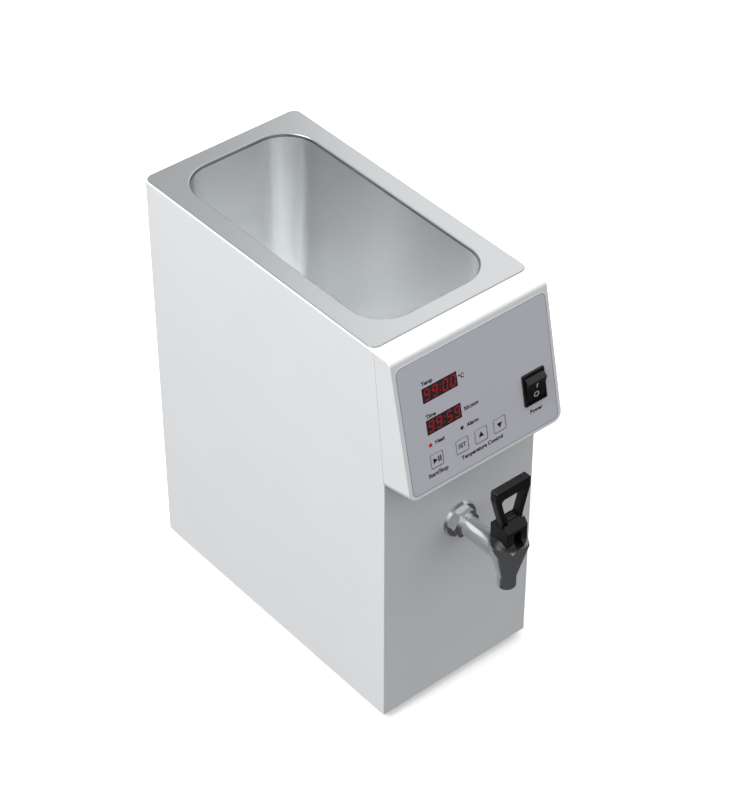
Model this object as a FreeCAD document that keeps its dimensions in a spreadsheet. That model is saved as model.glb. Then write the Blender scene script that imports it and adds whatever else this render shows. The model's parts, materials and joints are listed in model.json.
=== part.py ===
import FreeCAD, Part
import math
import os
import Sketcher

# A bench-top water bath: a tall narrow cabinet, a deep stainless tank let into its top, a tilted
# control housing across the upper front and a self-closing tap low on the front panel.
# Millimetres. +Z is up, the front faces -Y, +X is to the right of someone facing the front.
# The origin lies on the bench, under the middle of the whole object.

DOC = FreeCAD.newDocument("water_bath")
SHEET = DOC.addObject("Spreadsheet::Sheet", "Sizes")
VECTOR = FreeCAD.Vector
X_AXIS = VECTOR(1, 0, 0)
Y_AXIS = VECTOR(0, 1, 0)
Z_AXIS = VECTOR(0, 0, 1)

DRIVING_SIZES = [
    # cabinet
    ("body_width", 176),
    ("body_depth", 337.4),
    ("body_height", 423.1),
    ("foot_height", 8),
    ("front_y", -129.94),          # outer face of the front panel
    ("skin", 1.2),                # painted sheet
    ("back_corner_radius", 7.7),
    ("rim_radius", 1.1),
    ("seam_height", 279.9),        # lower end of the oblique side seam, above the cabinet's bottom
    ("seam_setback", 14.1),       # how far back the seam is at the top
    ("seam_gap", 0.3),
    ("ear_height", 8.6),
    ("foot_inset_x", 20),
    ("foot_inset_y", 25),
    ("foot_radius", 11),
    # deck and tank
    ("deck_inset", 1.1),
    ("deck_front", 16.7),         # from the front panel's face to the deck's front edge
    ("deck_plate", 0.8),
    ("deck_gasket_thickness", 0.3),
    ("deck_corner_radius", 8),
    ("collar_wall", 1.8),
    ("collar_depth", 3.5),
    ("lip_radius", 1.4),
    ("opening_width", 133.8),
    ("opening_front", 35.1),
    ("opening_length", 282.4),
    ("opening_radius", 35),
    ("tank_depth", 252),
    ("tank_wall", 0.8),
    ("tank_floor_radius", 7.2),
    ("jacket_thickness", 14),
    ("heater_thickness", 3),
    ("clamp_thickness", 2),
    ("base_insulation", 20),
    # tilted control housing and what it carries
    ("panel_tilt", 11.86),        # degrees that the panel leans back
    ("panel_lead", 6.35),         # panel's upper end in front of the front panel's face
    ("panel_top", 418.4),         # panel's upper end above the cabinet's bottom
    ("panel_length", 134.3),
    ("housing_wall", 2),
    ("housing_edge_radius", 5.9),
    ("housing_corner_radius", 9),
    ("overlay_width", 167.4),
    ("overlay_top", 4.2),
    ("overlay_bottom", 130.2),
    ("overlay_radius", 5.5),
    ("overlay_thickness", 0.5),
    ("window_width", 38.7),
    ("window_height", 14.6),
    ("window_x", -40.6),
    ("temperature_drop", 40.6),   # down the panel to the middle of the upper display
    ("time_drop", 71.7),
    ("key_side", 14),
    ("key_gap", 0.3),
    ("key_drop", 105.4),
    ("key_radius", 1.6),
    ("led_radius", 1.8),
    ("led_drop", 88.9),
    ("heat_led_x", -58.5),
    ("alarm_led_x", -23.1),
    ("board_depth", 8),           # control board's face behind the panel's face
    ("board_thickness", 1.6),
    ("rocker_x", 59.8),
    ("rocker_drop", 87.65),
    ("rocker_bezel_width", 25.5),
    ("rocker_bezel_height", 31.3),
    ("rocker_tip_radius", 13.3),
    ("rocker_width", 21.4),
    ("rocker_pivot_depth", 3.2),
    ("rocker_rest_tilt", 14.6),
    # tap
    ("tap_height", 195.5),        # barrel's axis above the cabinet's bottom
    ("tap_reach", 64),            # spout's axis in front of the front panel's face
    ("barrel_radius", 9.8),
    ("flange_radius", 18.7),
    ("flange_thickness", 3),
    ("nut_corner_radius", 15),
    ("nut_thickness", 7),
    ("ring_radius", 19.3),
    ("spout_radius", 8.7),
    ("spout_bore", 6.2),
    ("spout_bottom", 170),        # heights of the tap's parts are above the bench
    ("cone_bottom", 182),
    ("ring_height", 222),
    ("cup_top", 224.5),
    ("ring_flats", 34),
    ("bonnet_radius", 16),
    ("bonnet_half_width", 12),
    ("bonnet_half_depth", 11.5),
    ("bonnet_top", 251),
    ("bonnet_shoulder", 243),
    ("pivot_height", 248.4),
    ("pin_radius", 1.5),
    ("pin_clearance", 0.05),
    ("hub_radius", 4.2),
    ("handle_top", 290),
    ("handle_half_width", 20),
    ("handle_thickness", 8),
    # electrics
    ("inlet_height", 58),
    ("inlet_flange_width", 50),
    ("inlet_flange_height", 36),
]


class Size:
    """A number together with the sheet expression that gives it."""

    def __init__(self, value, text):
        self.value = value
        self.text = text

    def __add__(self, other):
        return Size(self.value + number(other), "(%s + %s)" % (self.text, text_of(other)))

    def __sub__(self, other):
        return Size(self.value - number(other), "(%s - %s)" % (self.text, text_of(other)))

    def __mul__(self, other):
        return Size(self.value * number(other), "(%s * %s)" % (self.text, text_of(other)))

    def __truediv__(self, other):
        return Size(self.value / number(other), "(%s / %s)" % (self.text, text_of(other)))

    def __neg__(self):
        return Size(-self.value, "(0 - %s)" % self.text)

    def __radd__(self, other):
        return Size(number(other), text_of(other)) + self

    def __rsub__(self, other):
        return Size(number(other), text_of(other)) - self

    __rmul__ = __mul__


def number(size):
    return size.value if isinstance(size, Size) else float(size)


def text_of(size):
    return size.text if isinstance(size, Size) else "(%s)" % repr(float(size))


def sine(size):
    return Size(math.sin(math.radians(size.value)), "sin(%s)" % size.text)


def cosine(size):
    return Size(math.cos(math.radians(size.value)), "cos(%s)" % size.text)


def tangent(size):
    return Size(math.tan(math.radians(size.value)), "tan(%s)" % size.text)


class Sizes:
    """The driving dimensions, each under its alias."""


def fill_sheet():
    for row, (alias, value) in enumerate(DRIVING_SIZES, start=1):
        SHEET.set("A%d" % row, str(value))
        SHEET.setAlias("A%d" % row, alias)
        setattr(Sizes, alias, Size(float(value), "Sizes." + alias))
    DOC.recompute()


fill_sheet()
D = Sizes

# Levels and planes that several sub-parts share
HALF = D.body_width / 2
BACK = D.front_y + D.body_depth
CASING_TOP = D.foot_height + D.body_height
DECK_TOP = CASING_TOP + D.deck_gasket_thickness + D.deck_plate
TANK_FLOOR = DECK_TOP - D.tank_depth
TANK_FRONT = D.front_y + D.opening_front
TANK_BACK = TANK_FRONT + D.opening_length
TANK_HALF = D.opening_width / 2
SHEET_FLOOR = D.foot_height + D.skin
TAP_AXIS_Z = D.foot_height + D.tap_height
TAP_AXIS_Y = D.front_y - D.tap_reach
PANEL_Y = D.front_y - D.panel_lead
PANEL_Z = D.foot_height + D.panel_top
SEAM_Z = D.foot_height + D.seam_height

SUBPARTS = []


def bind(thing, prop, size):
    """Set a property, and bind it to the sheet where the size comes from there."""
    if isinstance(size, Size):
        thing.setExpression(prop, size.text)


def keep(thing, label):
    """Make an object one of the sub-parts that are written out."""
    thing.Label = label
    SUBPARTS.append(thing)
    return thing


def place(thing, x=0, y=0, z=0, rotation=None):
    base = VECTOR(number(x), number(y), number(z))
    thing.Placement = FreeCAD.Placement(base, rotation or FreeCAD.Rotation())
    for axis, size in zip("xyz", (x, y, z)):
        bind(thing, "Placement.Base." + axis, size)
    return thing


def tilt():
    return FreeCAD.Rotation(X_AXIS, -number(D.panel_tilt))


def on_panel(thing):
    """Stand a sub-part on the tilted panel: X across, Y into the panel, Z up along it."""
    return place(thing, 0, PANEL_Y, PANEL_Z, tilt())


# ---- sketches ----

def sketch_on(body, plane, offset=0):
    """An empty sketch on one of the body's own planes, moved along that plane's normal."""
    sketch = body.newObject("Sketcher::SketchObject", body.Label + "_sketch")
    support = next(item for item in body.Origin.OriginFeatures if item.Role == plane + "_Plane")
    sketch.AttachmentSupport = [(support, "")]
    sketch.MapMode = "FlatFace"
    sketch.AttachmentOffset = FreeCAD.Placement(VECTOR(0, 0, number(offset)), FreeCAD.Rotation())
    bind(sketch, "AttachmentOffset.Base.z", offset)
    return sketch


def hold(sketch, kind, size, geometry, point):
    """Hold one coordinate of a point at a size, measured from the sketch's origin."""
    if not isinstance(size, Size) and size == 0:
        axis = -2 if kind == "DistanceX" else -1
        sketch.addConstraint(Sketcher.Constraint("PointOnObject", geometry, point, axis))
        return
    rule = Sketcher.Constraint(kind, -1, 1, geometry, point, number(size))
    index = sketch.addConstraint(rule)
    bind(sketch, "Constraints[%d]" % index, size)


def draw_polygon(sketch, corners):
    first = sketch.GeometryCount
    points = [VECTOR(number(x), number(y), 0) for x, y in corners]
    count = len(points)
    sketch.addGeometry([Part.LineSegment(points[i], points[(i + 1) % count]) for i in range(count)])
    for i in range(count):
        following = first + (i + 1) % count
        sketch.addConstraint(Sketcher.Constraint("Coincident", first + i, 2, following, 1))
    for i, (x, y) in enumerate(corners):
        hold(sketch, "DistanceX", x, first + i, 1)
        hold(sketch, "DistanceY", y, first + i, 1)


def draw_rectangle(sketch, x0, x1, y0, y1):
    draw_polygon(sketch, [(x0, y0), (x1, y0), (x1, y1), (x0, y1)])


def draw_circle(sketch, x, y, radius):
    centre = VECTOR(number(x), number(y), 0)
    index = sketch.addGeometry(Part.Circle(centre, Z_AXIS, number(radius)))
    rule = sketch.addConstraint(Sketcher.Constraint("Radius", index, number(radius)))
    bind(sketch, "Constraints[%d]" % rule, radius)
    hold(sketch, "DistanceX", x, index, 3)
    hold(sketch, "DistanceY", y, index, 3)


def draw_rounded(sketch, x0, x1, y0, y1, radius):
    """A rectangle with four tangent corner arcs."""
    first = sketch.GeometryCount
    left, right, low, high, r = (number(size) for size in (x0, x1, y0, y1, radius))
    sides = [
        ((left + r, low), (right - r, low)),
        ((right, low + r), (right, high - r)),
        ((right - r, high), (left + r, high)),
        ((left, high - r), (left, low + r)),
    ]
    centres = [(right - r, low + r), (right - r, high - r), (left + r, high - r), (left + r, low + r)]
    for i in range(4):
        start, end = sides[i]
        sketch.addGeometry(Part.LineSegment(VECTOR(*start, 0), VECTOR(*end, 0)))
        circle = Part.Circle(VECTOR(*centres[i], 0), Z_AXIS, r)
        angle = math.radians(90 * (i - 1))
        sketch.addGeometry(Part.ArcOfCircle(circle, angle, angle + math.pi / 2))
    for i in range(4):
        line = first + 2 * i
        arc = line + 1
        after = first + (2 * i + 2) % 8
        sketch.addConstraint(Sketcher.Constraint("Tangent", line, 2, arc, 1))
        sketch.addConstraint(Sketcher.Constraint("Tangent", arc, 2, after, 1))
        sketch.addConstraint(Sketcher.Constraint("Horizontal" if i % 2 == 0 else "Vertical", line))
        if i:
            sketch.addConstraint(Sketcher.Constraint("Equal", first + 1, arc))
    rule = sketch.addConstraint(Sketcher.Constraint("Radius", first + 1, r))
    bind(sketch, "Constraints[%d]" % rule, radius)
    hold(sketch, "DistanceY", y0, first, 1)
    hold(sketch, "DistanceX", x1, first + 2, 1)
    hold(sketch, "DistanceY", y1, first + 4, 1)
    hold(sketch, "DistanceX", x0, first + 6, 1)


# ---- PartDesign features ----

def new_body(label):
    body = DOC.addObject("PartDesign::Body", label)
    return keep(body, label)


def add_feature(body, kind, profile, length, backwards=False, symmetric=False):
    feature = body.newObject("PartDesign::" + kind, body.Label + "_" + kind.lower())
    feature.Profile = profile
    feature.Length = number(length)
    bind(feature, "Length", length)
    feature.Reversed = backwards
    if symmetric:
        feature.SideType = "Symmetric"
    profile.Visibility = False
    return feature


def pad(body, profile, length, backwards=False, symmetric=False):
    feature = add_feature(body, "Pad", profile, length, backwards, symmetric)
    DOC.recompute()
    return feature


def pocket(body, profile, length, backwards=False, symmetric=False):
    """Cut a pocket, and make sure that it removed something."""
    before = body.Shape.Volume
    feature = add_feature(body, "Pocket", profile, length, backwards, symmetric)
    DOC.recompute()
    if body.Shape.Volume > before - 1e-3:
        raise RuntimeError("a pocket in %s cuts nothing" % body.Label)
    return feature


def turn(body, profile, kind="Revolution"):
    """Revolve a profile about the sketch's vertical axis."""
    feature = body.newObject("PartDesign::" + kind, body.Label + "_" + kind.lower())
    feature.Profile = profile
    feature.ReferenceAxis = (profile, ["V_Axis"])
    feature.Angle = 360
    DOC.recompute()
    return feature


def edges_where(shape, wanted):
    return ["Edge%d" % (i + 1) for i, edge in enumerate(shape.Edges) if wanted(edge)]


def round_edges(body, radius, wanted):
    """Fillet the edges of the body's last feature that a test picks."""
    last = body.Tip
    names = edges_where(last.Shape, wanted)
    if not names:
        raise RuntimeError("no edge to round on %s" % body.Label)
    feature = body.newObject("PartDesign::Fillet", body.Label + "_fillet")
    feature.Base = (last, names)
    feature.Radius = number(radius)
    bind(feature, "Radius", radius)
    DOC.recompute()
    if feature.Shape.isNull():
        raise RuntimeError("a fillet on %s failed" % body.Label)
    return feature


def is_line_along(edge, axis):
    if edge.Curve.TypeId != "Part::GeomLine":
        return False
    return abs(abs(edge.Curve.Direction.dot(axis)) - 1) < 1e-6


def near(value, size, slack=0.01):
    return abs(value - number(size)) < slack


def middle(edge):
    return edge.BoundBox.Center


def lies_at_height(edge, size):
    return near(edge.BoundBox.ZMin, size) and near(edge.BoundBox.ZMax, size)


# ---- Part primitives ----

def cylinder(radius, length, x=0, y=0, z=0, along=Z_AXIS):
    thing = DOC.addObject("Part::Cylinder", "cylinder")
    thing.Radius = number(radius)
    thing.Height = number(length)
    bind(thing, "Radius", radius)
    bind(thing, "Height", length)
    return place(thing, x, y, z, FreeCAD.Rotation(Z_AXIS, along))


def cone(bottom, top, length, x=0, y=0, z=0, along=Z_AXIS):
    thing = DOC.addObject("Part::Cone", "cone")
    thing.Radius1 = number(bottom)
    thing.Radius2 = number(top)
    thing.Height = number(length)
    bind(thing, "Radius1", bottom)
    bind(thing, "Radius2", top)
    bind(thing, "Height", length)
    return place(thing, x, y, z, FreeCAD.Rotation(Z_AXIS, along))


def box(x0, x1, y0, y1, z0, z1):
    thing = DOC.addObject("Part::Box", "box")
    for prop, size in (("Length", x1 - x0), ("Width", y1 - y0), ("Height", z1 - z0)):
        setattr(thing, prop, number(size))
        bind(thing, prop, size)
    return place(thing, x0, y0, z0)


def hexagon(corner_radius, length, x=0, y=0, z=0, along=Z_AXIS):
    thing = DOC.addObject("Part::Prism", "hexagon")
    thing.Polygon = 6
    thing.Circumradius = number(corner_radius)
    thing.Height = number(length)
    bind(thing, "Circumradius", corner_radius)
    bind(thing, "Height", length)
    return place(thing, x, y, z, FreeCAD.Rotation(Z_AXIS, along))


def cut(base, tool):
    thing = DOC.addObject("Part::Cut", "cut")
    thing.Base = base
    thing.Tool = tool
    return thing


def common(first, second):
    thing = DOC.addObject("Part::Common", "common")
    thing.Base = first
    thing.Tool = second
    return thing


def fuse(parts):
    thing = DOC.addObject("Part::MultiFuse", "fuse")
    thing.Shapes = parts
    return thing


def group(parts, label):
    """Identical or related pieces that share one node, as separate solids."""
    thing = DOC.addObject("Part::Compound", label)
    thing.Links = parts
    return keep(thing, label)


def ring(outer, inner, length, x=0, y=0, z=0, along=Z_AXIS):
    return cut(cylinder(outer, length, x, y, z, along), cylinder(inner, length, x, y, z, along))


def screw(shank, length, head, head_height, x, y, z, along):
    """A round-headed screw whose head stands on the point and whose shank runs along."""
    back = along * -1
    return fuse([
        cylinder(shank, length, x, y, z, along),
        cylinder(head, head_height, x, y, z, back),
    ])


# ---- cabinet ----

def casing_wrap():
    """Sides and back folded from one sheet, with a rim turned in at the top to carry the deck."""
    body = new_body("casing_wrap")
    plan = sketch_on(body, "XY", D.foot_height)
    draw_rectangle(plan, -HALF, HALF, D.front_y, BACK)
    pad(body, plan, D.body_height)
    round_edges(body, D.back_corner_radius,
                lambda e: is_line_along(e, Z_AXIS) and near(middle(e).y, BACK))
    round_edges(body, D.rim_radius,
                lambda e: lies_at_height(e, CASING_TOP) and middle(e).y > number(D.front_y) + 1)
    inside = sketch_on(body, "XY", D.foot_height)
    inner_radius = D.back_corner_radius - D.skin
    draw_rounded(inside, D.skin - HALF, HALF - D.skin, D.front_y - 20, BACK - D.skin, inner_radius)
    pocket(body, inside, D.body_height - D.skin, backwards=True)
    roof = sketch_on(body, "XY", CASING_TOP)
    draw_rounded(roof, -75, 75, D.front_y + 24, BACK - 12.5, 25)
    pocket(body, roof, D.skin * 2)
    cut_seam(body)
    inlet = sketch_on(body, "XZ", -BACK)
    draw_rounded(inlet, -14.2, 14.2, D.inlet_height - 15.7, D.inlet_height + 15.7, 1.5)
    for x in (-20, 20):
        draw_circle(inlet, x, D.inlet_height, 1.6)
    pocket(body, inlet, D.skin * 2, backwards=True)
    cut_rear_vents(body)


def cut_seam(body):
    """Clear the front of the side walls for the front panel and, above it, the housing."""
    side = sketch_on(body, "YZ")
    behind_panel = D.front_y + D.skin
    draw_polygon(side, [
        (D.front_y - 5, D.foot_height - 1),
        (behind_panel, D.foot_height - 1),
        (behind_panel, SEAM_Z + D.ear_height + 0.15),
        (D.front_y + D.seam_setback + D.seam_gap, CASING_TOP),
        (D.front_y + D.seam_setback + D.seam_gap, CASING_TOP + 1),
        (D.front_y - 5, CASING_TOP + 1),
    ])
    pocket(body, side, D.body_width + 10, symmetric=True)


def cut_rear_vents(body):
    """Two rows of upright cooling slots in the back."""
    for row in (92, 130):
        slots = sketch_on(body, "XZ", -BACK)
        for i in range(11):
            x = 10 * (i - 5)
            draw_rounded(slots, x - 2, x + 2, D.foot_height + row, D.foot_height + row + 26, 1.9)
        pocket(body, slots, D.skin * 2, backwards=True)


def front_panel():
    """Front sheet: full width below the housing, with ears up to its rounded corners, and a
    narrower bulkhead behind it."""
    body = new_body("front_panel")
    behind = -(D.front_y + D.skin)
    top = SEAM_Z - D.seam_gap
    ear = SEAM_Z + D.ear_height
    face = sketch_on(body, "XZ", behind)
    draw_polygon(face, [
        (-HALF, D.foot_height), (HALF, D.foot_height), (HALF, ear), (HALF - 6, ear),
        (HALF - 6, top), (6 - HALF, top), (6 - HALF, ear), (-HALF, ear),
    ])
    pad(body, face, D.skin)
    round_edges(body, 0.6, lambda e: is_line_along(e, Z_AXIS) and near(abs(middle(e).x), HALF)
                and near(middle(e).y, D.front_y))
    corners = sketch_on(body, "XZ", -D.front_y)
    for side in (-1, 1):
        draw_circle(corners, (HALF - D.housing_corner_radius) * side, SEAM_Z + D.housing_corner_radius,
                    D.housing_corner_radius + D.seam_gap)
    pocket(body, corners, D.skin * 2)
    bulkhead = sketch_on(body, "XZ", behind)
    draw_rectangle(bulkhead, 6 - HALF, HALF - 6, top - 5, CASING_TOP - 12)
    pad(body, bulkhead, D.skin)
    holes = sketch_on(body, "XZ", -D.front_y)
    draw_circle(holes, 0, TAP_AXIS_Z, D.barrel_radius + 0.4)
    draw_rounded(holes, -68, 20, PANEL_Z - 100, PANEL_Z - 30, 6)
    for x in (-1, 1):
        for z in (SEAM_Z + 20, CASING_TOP - 20):
            draw_circle(holes, (HALF - 10) * x, z, 1.7)
    pocket(body, holes, D.skin * 2)


def base_plate():
    """Bottom sheet with turned-up edges and two banks of cooling slots."""
    body = new_body("base_plate")
    tray = sketch_on(body, "XY", D.foot_height)
    edge = HALF - D.skin - 0.3
    front = D.front_y + D.skin + 0.3
    back = BACK - D.skin - 0.3
    draw_rounded(tray, -edge, edge, front, back, 6)
    pad(body, tray, 14)
    hollow = sketch_on(body, "XY", D.foot_height + 14)
    wall = D.skin
    draw_rounded(hollow, wall - edge, edge - wall, front + wall, back - wall, 5)
    pocket(body, hollow, 14 - D.skin)
    floor = sketch_on(body, "XY", SHEET_FLOOR)
    for i in range(9):
        for bank in (90, 190):
            y = D.front_y + bank + 9 * i
            draw_rounded(floor, -30, 30, y - 2, y + 2, 1.9)
    for x, y in foot_places():
        draw_circle(floor, x, y, 2.2)
    pocket(body, floor, D.skin * 2)


def foot_places():
    across = HALF - D.foot_inset_x
    for x in (-across, across):
        for y in (D.front_y + D.foot_inset_y, BACK - D.foot_inset_y):
            yield x, y


def feet():
    """Rubber feet, each held by a screw from below and a nut inside."""
    rubbers = []
    screws = []
    nuts = []
    for x, y in foot_places():
        foot = cone(D.foot_radius - 1.5, D.foot_radius, D.foot_height, x, y, 0)
        hole = fuse([cylinder(2.2, 20, x, y, -1), cylinder(4.4, 4, x, y, -1)])
        rubbers.append(cut(foot, hole))
        screws.append(screw(2, 12.5, 3.8, 2, x, y, 3, Z_AXIS))
        nuts.append(cut(hexagon(4, 3.2, x, y, SHEET_FLOOR), cylinder(2, 5, x, y, SHEET_FLOOR - 1)))
    group(rubbers, "rubber_feet")
    group(screws, "foot_screws")
    group(nuts, "foot_nuts")


# ---- deck and tank ----

def opening(sketch, grow=0):
    draw_rounded(sketch, -(TANK_HALF + grow), TANK_HALF + grow,
                 TANK_FRONT - grow, TANK_BACK + grow, D.opening_radius + grow)


def deck_outline(sketch, shrink=0):
    edge = HALF - D.deck_inset - shrink
    draw_rounded(sketch, -edge, edge, D.front_y + D.deck_front + shrink,
                 BACK - D.deck_inset - shrink, D.deck_corner_radius - shrink)


def top_deck():
    """Stainless deck whose opening is turned down into a rounded collar."""
    body = new_body("top_deck")
    plate = sketch_on(body, "XY", DECK_TOP)
    deck_outline(plate)
    opening(plate)
    pad(body, plate, D.deck_plate, backwards=True)
    collar = sketch_on(body, "XY", DECK_TOP)
    opening(collar, D.collar_wall)
    opening(collar)
    pad(body, collar, D.collar_depth, backwards=True)
    round_edges(body, D.lip_radius, lambda e: lies_at_height(e, DECK_TOP) and in_opening(e))
    round_edges(body, 0.35, lambda e: lies_at_height(e, DECK_TOP) and not in_opening(e, 5))


def in_opening(edge, slack=0.1):
    """True for an edge on or inside the outline of the tank's opening."""
    bounds = edge.BoundBox
    across = max(abs(bounds.XMin), abs(bounds.XMax))
    low = number(TANK_FRONT) - slack
    high = number(TANK_BACK) + slack
    return across < number(TANK_HALF) + slack and bounds.YMin > low and bounds.YMax < high


def deck_gasket():
    """Thin dark sealing frame between the deck and the casing's rim."""
    body = new_body("deck_gasket")
    plan = sketch_on(body, "XY", CASING_TOP)
    deck_outline(plan, 0.8)
    draw_rounded(plan, -76, 76, D.front_y + 26, BACK - 11.5, 24)
    pad(body, plan, D.deck_gasket_thickness)


def bath_tank():
    """Deep-drawn tank with rounded corners, a dished edge round its floor and a hole for the tap."""
    body = new_body("bath_tank")
    rim = DECK_TOP - D.collar_depth
    wall = sketch_on(body, "XY", rim)
    opening(wall, D.tank_wall)
    bottom = TANK_FLOOR - D.tank_wall
    pad(body, wall, rim - bottom, backwards=True)
    hollow = sketch_on(body, "XY", rim)
    opening(hollow)
    pocket(body, hollow, rim - TANK_FLOOR)
    round_edges(body, D.tank_floor_radius, lambda e: lies_at_height(e, TANK_FLOOR))
    round_edges(body, D.tank_floor_radius + D.tank_wall, lambda e: lies_at_height(e, bottom))
    hole = sketch_on(body, "XZ", -(TANK_FRONT - 5))
    draw_circle(hole, 0, TAP_AXIS_Z, D.barrel_radius + 0.4)
    pocket(body, hole, 12)


def insulation_jacket():
    """Mineral-wool jacket round the tank, bored for the tap and the temperature probe."""
    body = new_body("insulation_jacket")
    low = sketch_on(body, "XY", TANK_FLOOR)
    gap = D.tank_wall + 0.4
    opening(low, gap + D.jacket_thickness)
    opening(low, gap)
    pad(body, low, CASING_TOP - 8 - TANK_FLOOR)
    hole = sketch_on(body, "XZ", -(D.front_y + 5))
    draw_circle(hole, 0, TAP_AXIS_Z, D.barrel_radius + 1.5)
    pocket(body, hole, 40)
    probe = sketch_on(body, "YZ")
    draw_rounded(probe, -20, 20, TANK_FLOOR + 20, TANK_FLOOR + 60, 4)
    pocket(body, probe, HALF, backwards=True)


def heater_stack():
    """Heating mat, its clamp plate, the base insulation and the studs that press them together."""
    under = TANK_FLOOR - D.tank_wall
    middle_y = (TANK_FRONT + TANK_BACK) / 2
    layers = [
        ("heating_mat", D.heater_thickness, 48, 112),
        ("heater_clamp_plate", D.clamp_thickness, 54, 118),
        ("insulation_base", D.base_insulation, 58, 124),
    ]
    top = under
    for label, thickness, across, along in layers:
        body = new_body(label)
        plan = sketch_on(body, "XY", top)
        draw_rounded(plan, -across, across, middle_y - along, middle_y + along, 14)
        for x, y in stud_places():
            draw_circle(plan, x, y, 3)
        pad(body, plan, thickness, backwards=True)
        top = top - thickness
    studs = []
    for x, y in stud_places():
        studs.append(fuse([cylinder(2, under - top, x, y, top), hexagon(4.6, 3, x, y, top - 3)]))
    group(studs, "clamp_studs")


def stud_places():
    middle_y = (TANK_FRONT + TANK_BACK) / 2
    for x in (-34, 34):
        for y in (-90, 90):
            yield x, middle_y + y


def temperature_probe():
    """Stainless probe pocket welded to the tank's side, with its lead stub."""
    x = TANK_HALF + D.tank_wall + 3
    low = TANK_FLOOR + 25
    stem = cylinder(3, 28, x, 0, low)
    tail = cone(3, 1.6, 6, x, 0, low + 28)
    keep(fuse([stem, tail]), "temperature_probe")


def overheat_cutout():
    """Bimetal disc thermostat under the clamp plate's rear, with two flat terminals."""
    under = TANK_FLOOR - D.tank_wall
    y = TANK_BACK - 8.6
    disc = cylinder(8, 4, 0, y, under - 4)
    cap = cylinder(6.5, 6, 0, y, under - 10)
    tabs = [box(x - 0.4, x + 0.4, y - 3, y + 3, under - 18, under - 9.9) for x in (-4, 4)]
    keep(fuse([disc, cap] + tabs), "overheat_cutout")


# ---- tap ----

def tap_fixings():
    """Washer and nut outside the front panel; gasket and nut inside the tank."""
    forward = Y_AXIS * -1
    washer = cone(D.flange_radius, D.flange_radius - 1.4, D.flange_thickness,
                  0, D.front_y, TAP_AXIS_Z, forward)
    bore = cylinder(D.barrel_radius, D.flange_thickness, 0, D.front_y, TAP_AXIS_Z, forward)
    keep(cut(washer, bore), "tap_flange_washer")
    nut_y = D.front_y - D.flange_thickness
    hex_nut("tap_hex_nut", nut_y, forward)
    inner = TANK_FRONT
    keep(ring(D.barrel_radius + 3.6, D.barrel_radius, 2, 0, inner, TAP_AXIS_Z, Y_AXIS), "tap_gasket")
    hex_nut("tap_back_nut", inner + 2, Y_AXIS)


def hex_nut(label, y, along):
    """A hexagon nut with its outer corners turned to a cone."""
    block = hexagon(D.nut_corner_radius, D.nut_thickness, 0, y, TAP_AXIS_Z, along)
    turned = cone(D.nut_corner_radius + 3.4, D.nut_corner_radius - 0.6, D.nut_thickness,
                  0, y, TAP_AXIS_Z, along)
    bore = cylinder(D.barrel_radius, D.nut_thickness, 0, y, TAP_AXIS_Z, along)
    keep(cut(common(block, turned), bore), label)


def tap_body():
    """Plated body: a horizontal shank into the tank and an upright cone down to the spout."""
    body = new_body("tap_body")
    place(body, 0, TAP_AXIS_Y, 0)
    profile = sketch_on(body, "XZ")
    draw_polygon(profile, [
        (0, D.spout_bottom),
        (D.spout_radius, D.spout_bottom),
        (D.spout_radius, D.cone_bottom),
        (D.ring_radius, D.ring_height),
        (D.ring_radius - 0.9, D.cup_top),
        (0, D.cup_top),
    ])
    turn(body, profile)
    shank = sketch_on(body, "XZ", 0)
    draw_circle(shank, 0, TAP_AXIS_Z, D.barrel_radius)
    pad(body, shank, D.tap_reach + D.opening_front + 13, backwards=True)
    collar = sketch_on(body, "XZ", D.flange_thickness + D.nut_thickness - D.tap_reach)
    draw_circle(collar, 0, TAP_AXIS_Z, D.barrel_radius + 1)
    pad(body, collar, 2.5)
    flats = sketch_on(body, "XY", D.ring_height - 8.6)
    draw_circle(flats, 0, 0, D.ring_radius + 4)
    draw_polygon(flats, hexagon_corners(D.ring_flats / 2))
    pocket(body, flats, 20, backwards=True)
    bore = sketch_on(body, "XZ")
    draw_polygon(bore, [
        (0, D.spout_bottom - 1), (D.spout_bore, D.spout_bottom - 1), (D.spout_bore, 185),
        (8.2, 187), (10, 193), (13.6, 206.5), (13.6, 212), (15.2, 212), (15.2, 230), (0, 230),
    ])
    turn(body, bore, "Groove")
    duct = sketch_on(body, "XZ", 0)
    draw_circle(duct, 0, TAP_AXIS_Z, D.barrel_radius - 3)
    pocket(body, duct, D.tap_reach + D.opening_front + 20, backwards=False)
    round_edges(body, 0.5, lambda e: near(e.BoundBox.ZMin, D.spout_bottom)
                and near(e.BoundBox.ZMax, D.spout_bottom))


def hexagon_corners(apothem):
    """Corners of a hexagon with a flat across the front, from half its width across flats."""
    reach = apothem / math.cos(math.pi / 6)
    return [(reach * math.cos(math.pi / 3 * i), reach * math.sin(math.pi / 3 * i)) for i in range(6)]


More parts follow.
